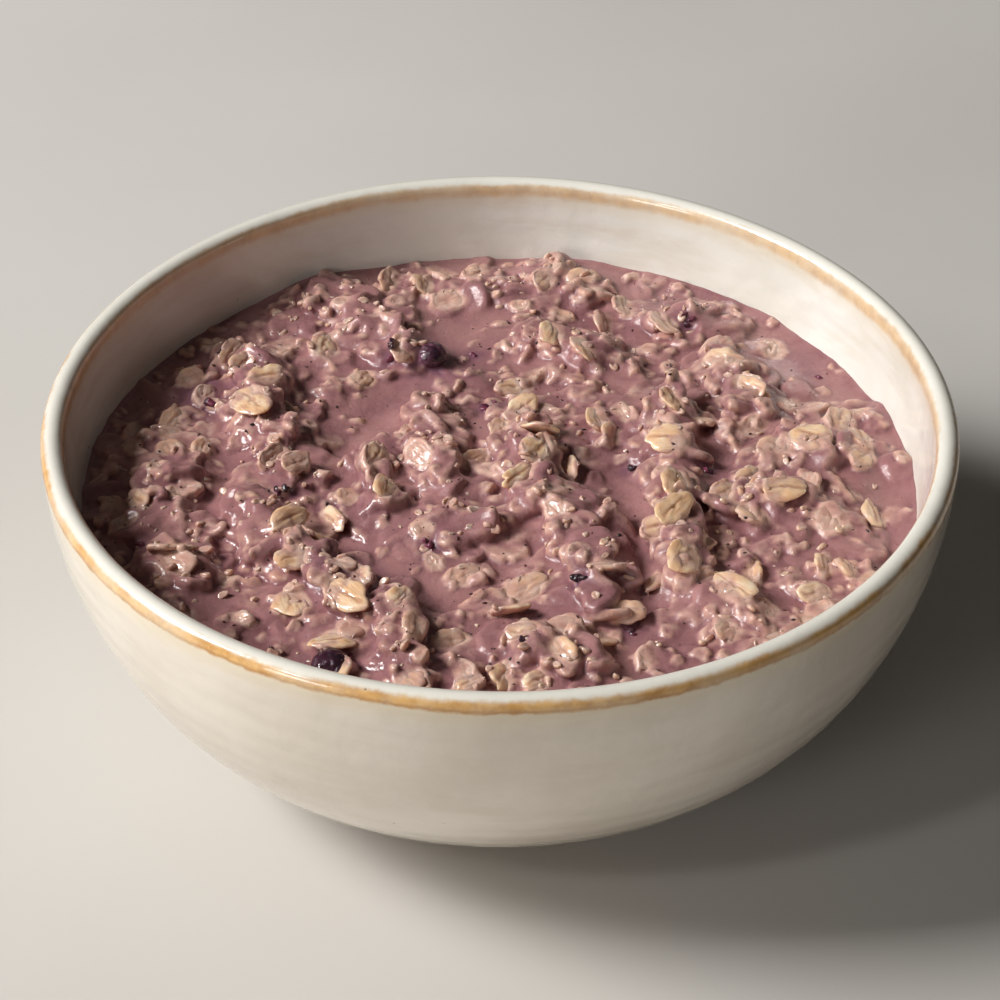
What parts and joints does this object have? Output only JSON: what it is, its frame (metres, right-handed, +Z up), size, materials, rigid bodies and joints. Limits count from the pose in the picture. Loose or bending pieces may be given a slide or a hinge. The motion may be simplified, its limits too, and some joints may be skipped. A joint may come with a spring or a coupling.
{
  "type": "bowl of porridge",
  "caption": "Round stoneware cereal bowl on a low foot ring, filled with thick oat porridge stirred with berries, its lumpy top a little below the rim.",
  "frame": {"origin": "centre of the foot ring, on the plane that the bowl stands on", "axes": "+Z up along the bowl's axis; -Y is the front, the side seen nearest; +X is to the right from the front"},
  "size_m": [0.16, 0.16, 0.0614],
  "materials": {
    "cream_glaze": "gloss",
    "berry_oats": "gloss",
    "berry_skin": "gloss"
  },
  "bodies": {
    "root": {"bowl": "cream_glaze", "porridge": "berry_oats", "berry_front": "berry_skin", "berry_back": "berry_skin", "berry_left": "berry_skin", "berry_middle": "berry_skin"}
  },
  "joints": []
}
